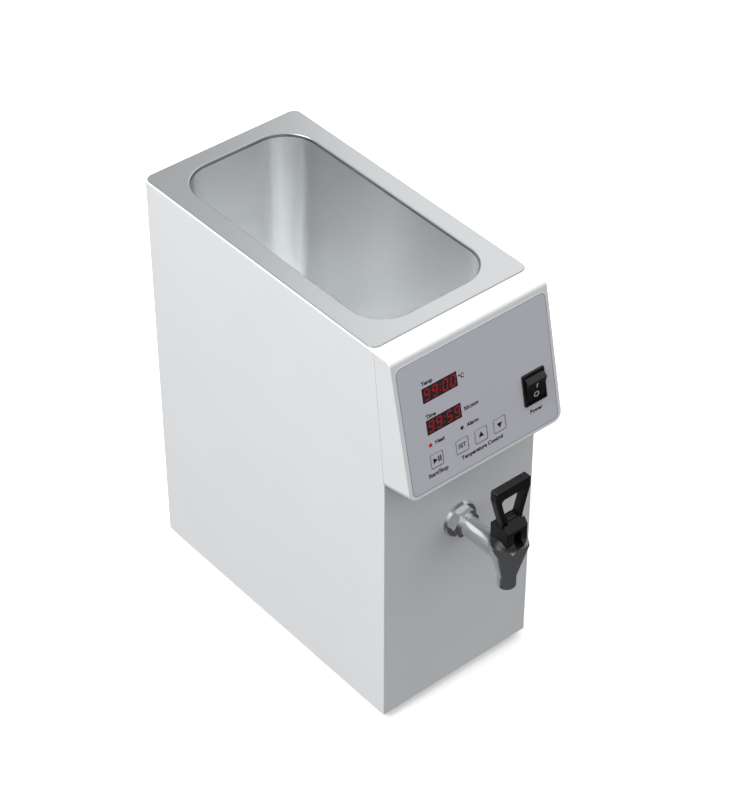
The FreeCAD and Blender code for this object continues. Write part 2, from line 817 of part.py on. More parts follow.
def tap_bonnet():
    """Moulded bonnet: a chamfered block with side recesses, standing in a low round collar."""
    body = new_body("tap_bonnet")
    place(body, 0, TAP_AXIS_Y, 0)
    seat = D.cup_top
    profile = sketch_on(body, "XZ")
    draw_polygon(profile, [
        (0, 213), (14.9, 213), (14.9, seat), (D.bonnet_radius, seat), (D.bonnet_radius, seat + 2),
        (11.5, seat + 6), (0, seat + 6),
    ])
    turn(body, profile)
    block = sketch_on(body, "YZ")
    draw_polygon(block, [
        (-D.bonnet_half_depth, seat + 1), (D.bonnet_half_depth, seat + 1),
        (D.bonnet_half_depth, D.bonnet_shoulder), (5, D.bonnet_top), (-5, D.bonnet_top),
        (-D.bonnet_half_depth, D.bonnet_shoulder),
    ])
    pad(body, block, D.bonnet_half_width * 2, symmetric=True)
    round_edges(body, 0.5, lambda e: middle(e).z > number(D.bonnet_shoulder) - 6
                and not is_line_along(e, Z_AXIS) and e.Length > 5
                and e.Curve.TypeId == "Part::GeomLine")
    corners = sketch_on(body, "XY", seat)
    draw_circle(corners, 0, 0, D.bonnet_radius)
    draw_circle(corners, 0, 0, D.bonnet_radius + 6)
    pocket(body, corners, 40, backwards=True)
    cut_handle_recesses(body)
    cut_linkage_space(body)
    pin = sketch_on(body, "YZ")
    draw_circle(pin, 0, D.pivot_height, D.pin_radius + D.pin_clearance)
    pocket(body, pin, 40, symmetric=True)


def cut_handle_recesses(body):
    """Open recesses in the block's two sides, in which the handle's legs turn."""
    cheek = 6.9
    for side in (-1, 1):
        eye = sketch_on(body, "YZ", cheek * side)
        draw_circle(eye, 0, D.pivot_height, D.handle_thickness / 2 + 0.4)
        pocket(body, eye, 12, backwards=side > 0)
        throat = sketch_on(body, "YZ", cheek * side)
        rear = D.handle_thickness / 2 + 0.4
        draw_polygon(throat, [
            (-6.2, D.pivot_height - 2.4), (-1, D.pivot_height - 2.4), (-1, D.pivot_height),
            (rear, D.pivot_height), (rear, D.bonnet_top + 2), (-6.2, D.bonnet_top + 2),
        ])
        pocket(body, throat, 12, backwards=side > 0)


def cut_linkage_space(body):
    """The hollow for the stem, spring and lift fork, open at the top, below and at the front slot."""
    spring_room = sketch_on(body, "XY", 212)
    draw_circle(spring_room, 0, 0, 10.5)
    pocket(body, spring_room, 12.6, backwards=True)
    well = sketch_on(body, "YZ")
    draw_polygon(well, [
        (-4.7, 224), (9.4, 224), (9.4, 244.4), (5.2, 248), (4.5, 248), (4.5, D.bonnet_top + 1),
        (-4.7, D.bonnet_top + 1),
    ])
    pocket(body, well, 10.4, symmetric=True)
    slot = sketch_on(body, "XZ", 0)
    draw_rectangle(slot, -4.2, 4.2, D.cup_top + 0.5, 240)
    pocket(body, slot, 30, backwards=True)


def tap_handle():
    """Loop handle whose two legs end in eyes round the pivot pin."""
    body = new_body("tap_handle")
    place(body, 0, TAP_AXIS_Y, 0)
    half = D.handle_half_width
    eye = D.handle_thickness / 2
    foot = D.pivot_height - eye
    bend = D.pivot_height + 1.5
    loop = sketch_on(body, "XZ")
    draw_polygon(loop, [
        (-11.8, foot), (-7.2, foot), (-7.2, 254), (-14, 278.7), (14, 278.7), (7.2, 254), (7.2, foot),
        (11.8, foot), (11.8, bend), (half, 279.7), (half, D.handle_top), (-half, D.handle_top),
        (-half, 279.7), (-11.8, bend),
    ])
    pad(body, loop, D.handle_thickness, symmetric=True)
    round_edges(body, D.handle_thickness / 2 - 0.05,
                lambda e: is_line_along(e, X_AXIS) and near(middle(e).z, foot))
    round_edges(body, 2, lambda e: is_line_along(e, Y_AXIS)
                and middle(e).z > number(D.handle_top) - 1)
    round_edges(body, 3.5, lambda e: is_line_along(e, Y_AXIS) and near(middle(e).z, 278.7))
    round_edges(body, 0.7, lambda e: middle(e).z > 262 and not is_line_along(e, Y_AXIS)
                and abs(middle(e).y) > 3.9)
    hole = sketch_on(body, "YZ")
    draw_circle(hole, 0, D.pivot_height, D.pin_radius)
    pocket(body, hole, 40, symmetric=True)


def tap_linkage():
    """Pivot pin, lift fork, stem with its hook, valve cup and return spring."""
    pin = cylinder(D.pin_radius, 23.4, -11.7, TAP_AXIS_Y, D.pivot_height, X_AXIS)
    keep(pin, "tap_handle_pin")
    lift_fork()
    y = TAP_AXIS_Y
    rod = cylinder(1.8, 53, 0, y, 188.1)
    flange = cylinder(7.2, 0.9, 0, y, 191)
    hook = box(-2.3, 2.3, y - 1.5, y + 7.9, 240.9, 242.1)
    keep(fuse([rod, flange, hook]), "tap_stem")
    cup = cut(fuse([cylinder(7.9, 3.6, 0, y, 187.4), cone(4.4, 5.4, 1.5, 0, y, 185.9)]),
              cylinder(1.8, 10, 0, y, 188.1))
    keep(cup, "tap_valve_cup")
    return_spring()


def lift_fork():
    """A hub on the pivot pin with two side plates, joined by a cross pin that lifts the stem's hook."""
    y = TAP_AXIS_Y
    lead = 3.2
    drop = 9
    reach = math.hypot(lead, drop)
    lean = math.asin(lead / reach)
    half = 1.6
    corner_y = y + reach * math.sin(lean) - half * math.cos(lean)
    corner_z = D.pivot_height - reach * math.cos(lean) - half * math.sin(lean)
    toe_y = y + lead
    toe_z = D.pivot_height - drop
    drum = cylinder(D.hub_radius, 9.6, -4.8, y, D.pivot_height, X_AXIS)
    hub = cut(drum, box(-5, 5, y - 5, y + 5, D.pivot_height - 6, D.pivot_height - 1))
    hub_bore = cylinder(D.pin_radius, 9.6, -4.8, y, D.pivot_height, X_AXIS)
    pieces = [cylinder(1.1, 9.2, -4.6, toe_y, toe_z, X_AXIS), cut(hub, hub_bore)]
    for x in (-4.6, 2.9):
        boss = cylinder(3, 1.7, x, y, D.pivot_height, X_AXIS)
        bore = cylinder(D.pin_radius, 1.7, x, y, D.pivot_height, X_AXIS)
        arm = box(0, 1.7, 0, half * 2, 0, reach)
        place(arm, x, corner_y, corner_z, FreeCAD.Rotation(X_AXIS, math.degrees(lean)))
        toe = cylinder(1.9, 1.7, x, toe_y, toe_z, X_AXIS)
        pieces.append(cut(fuse([boss, arm, toe]), bore))
    keep(fuse(pieces), "tap_lift_fork")


def return_spring():
    """Compression spring between the stem's flange and the bonnet."""
    body = new_body("tap_spring")
    place(body, 0, TAP_AXIS_Y, 192.6)
    wire = sketch_on(body, "XZ")
    draw_circle(wire, 6.4, 0, 0.5)
    coil = body.newObject("PartDesign::AdditiveHelix", "coil")
    coil.Profile = wire
    coil.ReferenceAxis = (wire, ["V_Axis"])
    coil.Mode = "pitch-height-angle"
    coil.Pitch = 5.2
    coil.Height = 31.2
    coil.Angle = 0
    DOC.recompute()


# ---- control housing ----

def panel_point(drop, out):
    """Y and Z of a point given down the panel and out from its face."""
    y = PANEL_Y - drop * sine(D.panel_tilt) - out * cosine(D.panel_tilt)
    z = PANEL_Z - drop * cosine(D.panel_tilt) + out * sine(D.panel_tilt)
    return y, z


def control_housing():
    """Hollow wedge-shaped housing, flush with the cabinet's sides, open at the back; its floor
    stops at the bulkhead."""
    body = new_body("control_housing")
    side = sketch_on(body, "YZ")
    slope = tangent(D.panel_tilt)
    crest = CASING_TOP
    front_top = PANEL_Y + (crest - PANEL_Z) * slope
    foot_y, foot_z = panel_point(D.panel_length, 0)
    draw_polygon(side, [
        (D.front_y, SEAM_Z), (D.front_y + D.seam_setback, crest), (front_top, crest), (foot_y, foot_z),
    ])
    pad(body, side, D.body_width, symmetric=True)
    hollow_housing(body, crest, front_top)
    round_edges(body, D.housing_corner_radius, lambda e: near(middle(e).z, (SEAM_Z + foot_z) / 2, 1.5)
                and near(abs(middle(e).x), HALF))
    round_edges(body, D.housing_edge_radius, lambda e: is_line_along(e, X_AXIS)
                and near(middle(e).z, crest) and near(middle(e).y, front_top))
    round_edges(body, 0.9, lambda e: lies_on_panel(e) and e.Length > 20)
    behind = sketch_on(body, "YZ")
    draw_rectangle(behind, D.front_y, D.front_y + 20, SEAM_Z - 4, SEAM_Z + 3)
    pocket(body, behind, (HALF - 5.5) * 2, symmetric=True)
    add_housing_bosses(body)
    cut_panel_holes(body)


def lies_on_panel(edge):
    """True for an edge whose two ends lie on the panel's face."""
    angle = math.radians(number(D.panel_tilt))
    return ends_lie_on(edge, PANEL_Y, PANEL_Z, VECTOR(0, -math.cos(angle), math.sin(angle)))


def lies_on_floor(edge, level):
    """True for an edge along the housing's floor, whose height at the front panel is given."""
    angle = math.radians(number(D.panel_tilt))
    return ends_lie_on(edge, D.front_y, level, VECTOR(0, -math.sin(angle), -math.cos(angle)))


def ends_lie_on(edge, y, z, normal):
    origin = VECTOR(0, number(y), number(z))
    return all(abs((vertex.Point - origin).dot(normal)) < 0.01 for vertex in edge.Vertexes)


def hollow_housing(body, crest, front_top):
    """Hollow of the housing, whose floor is square to the panel."""
    wall = D.housing_wall
    slope = tangent(D.panel_tilt)
    setback = wall / cosine(D.panel_tilt)
    floor_y, floor_z = panel_point(D.panel_length - wall, -wall)
    rear_y = D.front_y + 30
    floor = floor_z - (D.front_y - floor_y) * slope
    inner = sketch_on(body, "YZ")
    draw_polygon(inner, [
        (floor_y, floor_z), (rear_y, floor_z - (rear_y - floor_y) * slope), (rear_y, crest - wall),
        (front_top + setback - wall * slope, crest - wall),
    ])
    pocket(body, inner, D.body_width - wall * 2, symmetric=True)
    round_edges(body, D.housing_corner_radius - wall,
                lambda e: lies_on_floor(e, floor) and near(abs(middle(e).x), HALF - wall))


def add_housing_bosses(body):
    """Screw bosses behind the front wall, in line with the bulkhead's holes."""
    for x in (-1, 1):
        for z, length in ((SEAM_Z + 20, 30), (CASING_TOP - 20, 9)):
            boss = sketch_on(body, "XZ", -D.front_y)
            draw_circle(boss, (HALF - 10) * x, z, 4)
            pad(body, boss, length)
            hole = sketch_on(body, "XZ", -D.front_y)
            draw_circle(hole, (HALF - 10) * x, z, 1.25)
            pocket(body, hole, length - 3, backwards=True)


def key_places():
    """Name and place across the panel of each key."""
    return (("key_start_stop", -53.9), ("key_set", -25.4), ("key_up", -3.9), ("key_down", 17.4))


def window_drops():
    return (D.temperature_drop, D.time_drop)


def cut_panel_holes(body):
    """Windows, keys, lamps and the rocker through the tilted front wall."""
    sketch = sketch_on(body, "XZ")
    sketch.AttachmentOffset = FreeCAD.Placement(
        VECTOR(0, number(PANEL_Z), -number(PANEL_Y)), FreeCAD.Rotation(X_AXIS, -number(D.panel_tilt)))
    bind(sketch, "AttachmentOffset.Base.y", PANEL_Z)
    bind(sketch, "AttachmentOffset.Base.z", -PANEL_Y)
    draw_panel_holes(sketch, 0.6)
    pocket(body, sketch, D.housing_wall + 1)


def draw_panel_holes(sketch, clearance):
    """The panel's holes, in panel coordinates, each a little larger than what it takes."""
    for drop in window_drops():
        draw_window(sketch, drop, 0)
    for name, x in key_places():
        draw_key(sketch, x, D.key_gap + clearance)
    for x in (D.heat_led_x, D.alarm_led_x):
        draw_circle(sketch, x, -D.led_drop, D.led_radius + 0.1)
    half_width = D.rocker_bezel_width / 2 - 0.7
    half_height = D.rocker_bezel_height / 2 - 0.95
    draw_rounded(sketch, D.rocker_x - half_width, D.rocker_x + half_width,
                 -D.rocker_drop - half_height, -D.rocker_drop + half_height, 0.5)


def draw_window(sketch, drop, grow):
    half_width = D.window_width / 2 + grow
    half_height = D.window_height / 2 + grow
    draw_rounded(sketch, D.window_x - half_width, D.window_x + half_width,
                 -drop - half_height, -drop + half_height, 0.8)


def draw_key(sketch, x, grow):
    half = D.key_side / 2 + grow
    draw_rounded(sketch, x - half, x + half, -D.key_drop - half, -D.key_drop + half,
                 D.key_radius + grow)


def control_overlay():
    """Printed film on the panel, with holes for the windows, keys, lamps and rocker."""
    body = new_body("control_overlay")
    on_panel(body)
    film = sketch_on(body, "XZ")
    draw_rounded(film, -D.overlay_width / 2, D.overlay_width / 2,
                 -D.overlay_bottom, -D.overlay_top, D.overlay_radius)
    draw_panel_holes(film, 0)
    pad(body, film, D.overlay_thickness)


def key(name, x):
    """A square key with a wider flange behind the wall and a stem towards its switch."""
    body = new_body(name)
    on_panel(body)
    cap = sketch_on(body, "XZ", D.overlay_thickness + 0.15)
    draw_key(cap, x, 0)
    pad(body, cap, D.housing_wall + 1, backwards=True)
    round_edges(body, 0.25, lambda e: near_outer_face(e))
    flange = sketch_on(body, "XZ", -D.housing_wall - 0.25)
    draw_key(flange, x, 1.6)
    pad(body, flange, 0.9, backwards=True)
    stem = sketch_on(body, "XZ", -D.housing_wall - 1)
    draw_circle(stem, x, -D.key_drop, 1.8)
    pad(body, stem, 1, backwards=True)


def near_outer_face(edge):
    """True for an edge of a key's outer face, in the key's own coordinates."""
    level = -(number(D.overlay_thickness) + 0.15)
    bounds = edge.BoundBox
    return near(bounds.YMin, level) and near(bounds.YMax, level)


def display_windows():
    """Two clear red filters that fill the display openings."""
    panes = []
    for drop in window_drops():
        pane = DOC.addObject("PartDesign::Body", "pane")
        on_panel(pane)
        sketch = sketch_on(pane, "XZ", D.overlay_thickness)
        draw_window(sketch, drop, -0.02)
        pad(pane, sketch, 1.5, backwards=True)
        panes.append(pane)
    group(panes, "display_windows")


def display_module(name, drop):
    """A four-digit display block that stands on the control board behind its window."""
    body = new_body(name)
    on_panel(body)
    face = sketch_on(body, "XZ", -1.4)
    half = D.window_width / 2 - 0.35
    height = D.window_height / 2 - 0.35
    draw_rectangle(face, D.window_x - half, D.window_x + half, -drop - height, -drop + height)
    pad(body, face, D.board_depth - 1.4, backwards=True)


def lamp(name, x):
    """A domed lamp with a small flange behind the wall."""
    body = new_body(name)
    on_panel(body)
    stem = sketch_on(body, "XZ", D.overlay_thickness - 0.6)
    draw_circle(stem, x, -D.led_drop, D.led_radius)
    pad(body, stem, D.board_depth - 0.1, backwards=True)
    dome = sketch_on(body, "XZ", D.overlay_thickness - 0.6)
    draw_circle(dome, x, -D.led_drop, D.led_radius)
    pad(body, dome, 1.1)
    level = -(number(D.overlay_thickness) + 0.5)
    round_edges(body, 1, lambda e: near(e.BoundBox.YMin, level) and near(e.BoundBox.YMax, level))
    flange = sketch_on(body, "XZ", -D.housing_wall - 0.4)
    draw_circle(flange, x, -D.led_drop, D.led_radius + 0.5)
    pad(body, flange, 1, backwards=True)


def control_board():
    """Circuit board behind the panel, and the four switches that the keys press."""
    board = new_body("control_board")
    on_panel(board)
    plan = sketch_on(board, "XZ", -D.board_depth)
    draw_rounded(plan, -70, 36, -124, -24, 2)
    for x, z in board_places():
        draw_circle(plan, x, z, 1.6)
    pad(board, plan, D.board_thickness, backwards=True)
    switches = []
    for name, x in key_places():
        switches.append(tact_switch(x))
    group(switches, "tact_switches")


def tact_switch(x):
    body = DOC.addObject("PartDesign::Body", "tact_switch")
    on_panel(body)
    case = sketch_on(body, "XZ", -D.board_depth)
    draw_rectangle(case, x - 3, x + 3, -D.key_drop - 3, -D.key_drop + 3)
    pad(body, case, 3)
    plunger = sketch_on(body, "XZ", -D.board_depth + 2.5)
    draw_circle(plunger, x, -D.key_drop, 1.5)
    pad(body, plunger, 1)
    return body


def board_places():
    for x in (-66, 32):
        for z in (-120, -28):
            yield x, z


def board_fixings():
    """Four spacers between the wall and the board, and the screws that hold the board."""
    spacers = []
    screws = []
    for x, z in board_places():
        spacer = DOC.addObject("PartDesign::Body", "spacer")
        on_panel(spacer)
        tube = sketch_on(spacer, "XZ", -D.housing_wall)
        draw_circle(tube, x, z, 3)
        draw_circle(tube, x, z, 1.25)
        pad(spacer, tube, D.board_depth - D.housing_wall, backwards=True)
        spacers.append(spacer)
        fastener = DOC.addObject("PartDesign::Body", "fastener")
        on_panel(fastener)
        shank = sketch_on(fastener, "XZ", -D.housing_wall - 1)
        draw_circle(shank, x, z, 1.25)
        pad(fastener, shank, D.board_depth + D.board_thickness - D.housing_wall, backwards=True)
        head = sketch_on(fastener, "XZ", -D.board_depth - D.board_thickness)
        draw_circle(head, x, z, 2.6)
        pad(fastener, head, 1.6, backwards=True)
        screws.append(fastener)
    group(spacers, "board_spacers")
    group(screws, "board_screws")


def housing_screws():
    """Screws through the bulkhead into the housing's bosses."""
    screws = []
    for x in (-1, 1):
        for z in (SEAM_Z + 20, CASING_TOP - 20):
            screws.append(screw(1.25, 6, 2.8, 1.6, (HALF - 10) * x, D.front_y + D.skin, z, Y_AXIS * -1))
    group(screws, "housing_screws")


# ---- rocker switch ----

def rocker_frame():
    """Bezel and box of the rocker switch, with three terminals' blades behind."""
    body = new_body("rocker_frame")
    on_panel(body)
    x = D.rocker_x
    z = -D.rocker_drop
    shell = sketch_on(body, "XZ", D.overlay_thickness)
    box_half_width = D.rocker_bezel_width / 2 - 0.9
    box_half_height = D.rocker_bezel_height / 2 - 1.15
    draw_rectangle(shell, x - box_half_width, x + box_half_width, z - box_half_height, z + box_half_height)
    pad(body, shell, 14.5, backwards=True)
    bezel = sketch_on(body, "XZ", D.overlay_thickness)
    half_width = D.rocker_bezel_width / 2
    half_height = D.rocker_bezel_height / 2
    draw_rounded(bezel, x - half_width, x + half_width, z - half_height, z + half_height, 1.2)
    pad(body, bezel, 2)
    rim = -(number(D.overlay_thickness) + 2)
    round_edges(body, 0.7, lambda e: near(e.BoundBox.YMin, rim) and near(e.BoundBox.YMax, rim))
    cavity = sketch_on(body, "XZ", D.overlay_thickness + 2)
    wide = D.rocker_width / 2 + 0.3
    tall = D.rocker_tip_radius + 0.35
    draw_rectangle(cavity, x - wide, x + wide, z - tall, z + tall)
    pocket(body, cavity, 14.5)
    pin = sketch_on(body, "YZ", x)
    draw_circle(pin, D.rocker_pivot_depth, z, 1)
    pocket(body, pin, 40, symmetric=True)


def rocker_small_parts():
    """The rocker's pivot pin and its terminals."""
    pin = DOC.addObject("PartDesign::Body", "pin")
    keep(on_panel(pin), "rocker_pivot_pin")
    half = D.rocker_bezel_width / 2 - 1
    axle = sketch_on(pin, "YZ", D.rocker_x - half)
    draw_circle(axle, D.rocker_pivot_depth, -D.rocker_drop, 1)
    pad(pin, axle, half * 2)
    blades = []
    for offset in (-9, 0, 9):
        blade = DOC.addObject("PartDesign::Body", "blade")
        on_panel(blade)
        end = sketch_on(blade, "XZ", D.overlay_thickness - 14.5)
        z = offset - D.rocker_drop
        draw_rectangle(end, D.rocker_x - 2.4, D.rocker_x + 2.4, z - 0.4, z + 0.4)
        pad(blade, end, 6, backwards=True)
        blades.append(blade)
    group(blades, "rocker_terminals")


def rocker_button():
    """Rocker with a hollowed face and ends rounded about its pivot, tilted to its off position."""
    radius = D.rocker_tip_radius
    half = D.rocker_width / 2
    drum = cylinder(radius, D.rocker_width, -half, 0, 0, X_AXIS)
    front = 8.13
    slab = box(-half, half, -front, 4, -radius, radius)
    face_radius = 50.9
    sag = 1.1
    scoop = cylinder(face_radius, D.rocker_width + 2, -half - 1, -(face_radius + front - sag), 0, X_AXIS)
    bore = cylinder(1.05, D.rocker_width + 2, -half - 1, 0, 0, X_AXIS)
    button = cut(cut(common(drum, slab), scoop), bore)
    rest = FreeCAD.Rotation(X_AXIS, number(D.rocker_rest_tilt))
    y, z = panel_point(D.rocker_drop, -D.rocker_pivot_depth)
    place(button, D.rocker_x, y, z, tilt().multiply(rest))
    keep(button, "rocker_button")


# ---- electrics ----

def power_board():
    """Supply board on spacers over the base plate, with its transformer, relay and terminals."""
    level = SHEET_FLOOR + 10
    board = new_body("power_board")
    plan = sketch_on(board, "XY", level)
    y = D.front_y + 120
    draw_rounded(plan, -60, 60, y - 45, y + 45, 2)
    for x, z in power_places():
        draw_circle(plan, x, z, 1.7)
    pad(board, plan, 1.6)
    top = level + 1.6
    core = box(-52, -8, y - 28, y + 16, top, top + 34)
    coil = cut(box(-48, -12, y - 34, y + 22, top + 5, top + 29), box(-52, -8, y - 28, y + 16, top, top + 34))
    keep(fuse([core, coil]), "power_transformer")
    keep(box(8, 36, y - 20, y - 8, top, top + 16), "power_relay")
    strip = [box(-14 + 10 * i, -5.5 + 10 * i, y + 30, y + 42, top, top + 12) for i in range(6)]
    group(strip, "terminal_block")
    spacers = []
    screws = []
    for x, z in power_places():
        spacers.append(ring(3.5, 1.5, 10, x, z, SHEET_FLOOR))
        screws.append(screw(1.5, 8, 2.8, 1.8, x, z, top, Z_AXIS * -1))
    group(spacers, "power_board_spacers")
    group(screws, "power_board_screws")


def power_places():
    y = D.front_y + 120
    for x in (-55, 55):
        for side in (-40, 40):
            yield x, y + side


def mains_inlet():
    """Appliance inlet in the back, with a fuse drawer above the socket."""
    body = new_body("mains_inlet")
    outer = -BACK
    z = D.inlet_height
    flange = sketch_on(body, "XZ", outer)
    half_width = D.inlet_flange_width / 2
    half_height = D.inlet_flange_height / 2
    draw_rounded(flange, -half_width, half_width, z - half_height, z + half_height, 4)
    pad(body, flange, 3, backwards=True)
    round_edges(body, 0.8, lambda e: near(e.BoundBox.YMin, BACK + 3) and near(e.BoundBox.YMax, BACK + 3))
    shell = sketch_on(body, "XZ", outer)
    draw_rounded(shell, -14, 14, z - 15.5, z + 15.5, 1)
    pad(body, shell, 24)
    socket = sketch_on(body, "XZ", outer - 3)
    draw_polygon(socket, [
        (-12.1, z - 2.5), (-12.1, z - 10.5), (-9, z - 14), (9, z - 14), (12.1, z - 10.5), (12.1, z - 2.5),
    ])
    pocket(body, socket, 20, backwards=True)
    bay = sketch_on(body, "XZ", outer - 3)
    draw_rectangle(bay, -12, 12, z + 1, z + 13)
    pocket(body, bay, 24, backwards=True)
    for radius, depth in ((1.7, 5), (3.1, 1.4)):
        holes = sketch_on(body, "XZ", outer - 3)
        for x in (-20, 20):
            draw_circle(holes, x, z, radius)
        pocket(body, holes, depth, backwards=True)


def inlet_parts():
    """Contact blades, fixing screws, and the fuse drawer with its two fuses."""
    z = D.inlet_height
    blades = []
    for x, low in ((-7, -9), (0, -13), (7, -9)):
        bottom = z + low
        blades.append(box(x - 1, x + 1, BACK - 17, BACK - 2, bottom, bottom + 4))
        blades.append(box(x - 0.4, x + 0.4, BACK - 32, BACK - 24, bottom - 1, bottom + 5))
    group(blades, "inlet_contacts")
    forward = Y_AXIS * -1
    screws = [screw(1.6, 8, 3, 1.4, x, BACK + 1.6, z, forward) for x in (-20, 20)]
    group(screws, "inlet_screws")
    body = new_body("fuse_drawer")
    face = sketch_on(body, "XZ", -(BACK + 1))
    draw_rectangle(face, -11.7, 11.7, z + 1.3, z + 12.7)
    pad(body, face, 2.5, backwards=True)
    tray = sketch_on(body, "XZ", -(BACK + 1))
    draw_rectangle(tray, -10.5, 10.5, z + 2.3, z + 12)
    pad(body, tray, 20)
    for x in (-5, 5):
        pocket_sketch = sketch_on(body, "XY", z + 12)
        draw_rectangle(pocket_sketch, x - 3.2, x + 3.2, BACK - 18.5, BACK)
        pocket(body, pocket_sketch, 7)
    fuses = [cylinder(2.5, 17.5, x, BACK - 18, z + 7.5, Y_AXIS) for x in (-5, 5)]
    group(fuses, "fuses")


# ---- build, check and write ----

def check_document():
    """Stop if any object failed or any sub-part isn't a sound solid shape."""
    for thing in DOC.Objects:
        if "Invalid" in thing.State or "Error" in thing.State:
            raise RuntimeError("%s is %s" % (thing.Label, thing.State))
    for thing in SUBPARTS:
        if thing.Shape.isNull() or not thing.Shape.isValid() or not thing.Shape.Solids:
            raise RuntimeError("%s has no valid solid" % thing.Label)


def write_parts():
    os.makedirs("parts", exist_ok=True)
    for old in os.listdir("parts"):
        os.remove(os.path.join("parts", old))
    for thing in SUBPARTS:
        thing.Shape.exportStep("parts/%s.step" % thing.Label)


def main():
    casing_wrap()
    front_panel()
    base_plate()
    feet()
    top_deck()
    deck_gasket()
    bath_tank()
    insulation_jacket()
    heater_stack()
    temperature_probe()
    overheat_cutout()
    tap_fixings()
    tap_body()
    tap_bonnet()
    tap_handle()
    tap_linkage()
    control_housing()
    control_overlay()
    for name, x in key_places():
        key(name, x)
    display_windows()
    display_module("display_temperature", D.temperature_drop)
    display_module("display_time", D.time_drop)
    lamp("heat_lamp", D.heat_led_x)
    lamp("alarm_lamp", D.alarm_led_x)
    control_board()
    board_fixings()
    housing_screws()
    rocker_frame()
    rocker_small_parts()
    rocker_button()
    power_board()
    mains_inlet()
    inlet_parts()
    DOC.recompute()
    check_document()
    write_parts()
    print("%d sub-parts written" % len(SUBPARTS))


main()
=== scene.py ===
"""Looks for a narrow benchtop water bath: materials, printed marks, lit digits, camera and light."""
import json
import math

import bmesh
import bpy
from mathutils import Matrix, Vector


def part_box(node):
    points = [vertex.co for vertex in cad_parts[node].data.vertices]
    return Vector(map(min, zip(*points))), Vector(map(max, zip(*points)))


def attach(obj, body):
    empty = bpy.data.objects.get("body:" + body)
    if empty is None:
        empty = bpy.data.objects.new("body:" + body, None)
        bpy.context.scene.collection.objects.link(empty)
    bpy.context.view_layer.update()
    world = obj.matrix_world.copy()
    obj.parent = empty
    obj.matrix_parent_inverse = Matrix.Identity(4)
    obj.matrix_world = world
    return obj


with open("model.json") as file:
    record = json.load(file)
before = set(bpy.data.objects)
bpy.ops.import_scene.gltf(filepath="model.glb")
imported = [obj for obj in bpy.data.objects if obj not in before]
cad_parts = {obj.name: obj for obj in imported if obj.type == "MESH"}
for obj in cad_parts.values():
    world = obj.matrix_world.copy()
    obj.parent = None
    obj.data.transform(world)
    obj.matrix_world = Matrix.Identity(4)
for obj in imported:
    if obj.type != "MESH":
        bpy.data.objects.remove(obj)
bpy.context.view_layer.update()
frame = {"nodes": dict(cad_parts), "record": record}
NODES = frame["nodes"]

MM = 0.001

# The panel leans back by its tilt, and its printed film stands proud of it.
TILT = math.radians(11.86)
OVERLAY_TOP = 4.2 * MM
FILM = 0.5 * MM
INK_THICKNESS = 0.04 * MM


# ---- the tilted panel ----

def panel_frame():
    """Matrix from panel coordinates (across, up, out) to the object's frame."""
    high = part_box("control_overlay")[1]
    y = high[1] + OVERLAY_TOP * math.sin(TILT)
    z = high[2] + OVERLAY_TOP * math.cos(TILT) - FILM * math.sin(TILT)
    turn = Matrix.Rotation(math.pi / 2 - TILT, 4, "X")
    return Matrix.Translation((0, y, z)) @ turn


PANEL = panel_frame()


# ---- colour and nodes ----

def linear(red, green, blue):
    """A display colour, 0 to 255, as linear light."""
    def channel(value):
        value = value / 255
        return value / 12.92 if value <= 0.04045 else ((value + 0.055) / 1.055) ** 2.4
    return (channel(red), channel(green), channel(blue), 1)


class Nodes:
    """Short calls for building one material's node tree."""

    def __init__(self, name):
        self.material = bpy.data.materials.new(name)
        self.material.use_nodes = True
        self.tree = self.material.node_tree
        self.shader = self.tree.nodes["Principled BSDF"]

    def add(self, kind, **values):
        node = self.tree.nodes.new("ShaderNode" + kind)
        for key, value in values.items():
            if hasattr(node, key):
                setattr(node, key, value)
            else:
                node.inputs[key].default_value = value
        return node

    def link(self, source, target):
        self.tree.links.new(source, target)

    def set(self, **values):
        for key, value in values.items():
            self.shader.inputs[key.replace("_", " ")].default_value = value

    def place(self, scale):
        """Object coordinates, scaled along each axis."""
        coordinates = self.add("TexCoord")
        mapping = self.add("Mapping")
        mapping.inputs["Scale"].default_value = scale
        self.link(coordinates.outputs["Object"], mapping.inputs["Vector"])
        return mapping.outputs["Vector"]

    def noise(self, scale, detail=4, roughness=0.55):
        node = self.add("TexNoise", Scale=1.0, Detail=detail, Roughness=roughness)
        self.link(self.place(scale), node.inputs["Vector"])
        return node.outputs["Fac"]

    def spread(self, value, low, high):
        """Map 0.3 to 0.7, where noise mostly lies, onto low to high."""
        node = self.add("MapRange")
        node.inputs["From Min"].default_value = 0.3
        node.inputs["From Max"].default_value = 0.7
        node.inputs["To Min"].default_value = low
        node.inputs["To Max"].default_value = high
        self.link(value, node.inputs["Value"])
        return node.outputs["Result"]

    def tint(self, value, dark, light):
        """Colour that varies between two tones."""
        node = self.add("Mix", data_type="RGBA")
        node.inputs[6].default_value = dark
        node.inputs[7].default_value = light
        self.link(value, node.inputs["Factor"])
        self.link(node.outputs[2], self.shader.inputs["Base Color"])

    def bump(self, value, distance, strength=0.5):
        node = self.add("Bump")
        node.inputs["Strength"].default_value = strength
        node.inputs["Distance"].default_value = distance
        self.link(value, node.inputs["Height"])
        self.link(node.outputs["Normal"], self.shader.inputs["Normal"])


def shade(colour, factor):
    """A colour made darker or lighter, still opaque."""
    return tuple(channel * factor for channel in colour[:3]) + (1,)


def moulded(name, colour, roughness, grain=1400, depth=0.00003, variation=0.06, **settings):
    """Painted or moulded surface: faint tone drift, fine grain, uneven gloss."""
    nodes = Nodes(name)
    nodes.set(**settings)
    drift = nodes.noise((14, 14, 14), 3)
    nodes.tint(nodes.spread(drift, 0, 1), shade(colour, 1 - variation), colour)
    fine = nodes.noise((grain, grain, grain), 3)
    nodes.link(nodes.spread(fine, roughness * 0.9, roughness * 1.1), nodes.shader.inputs["Roughness"])
    nodes.bump(fine, depth)
    return nodes.material


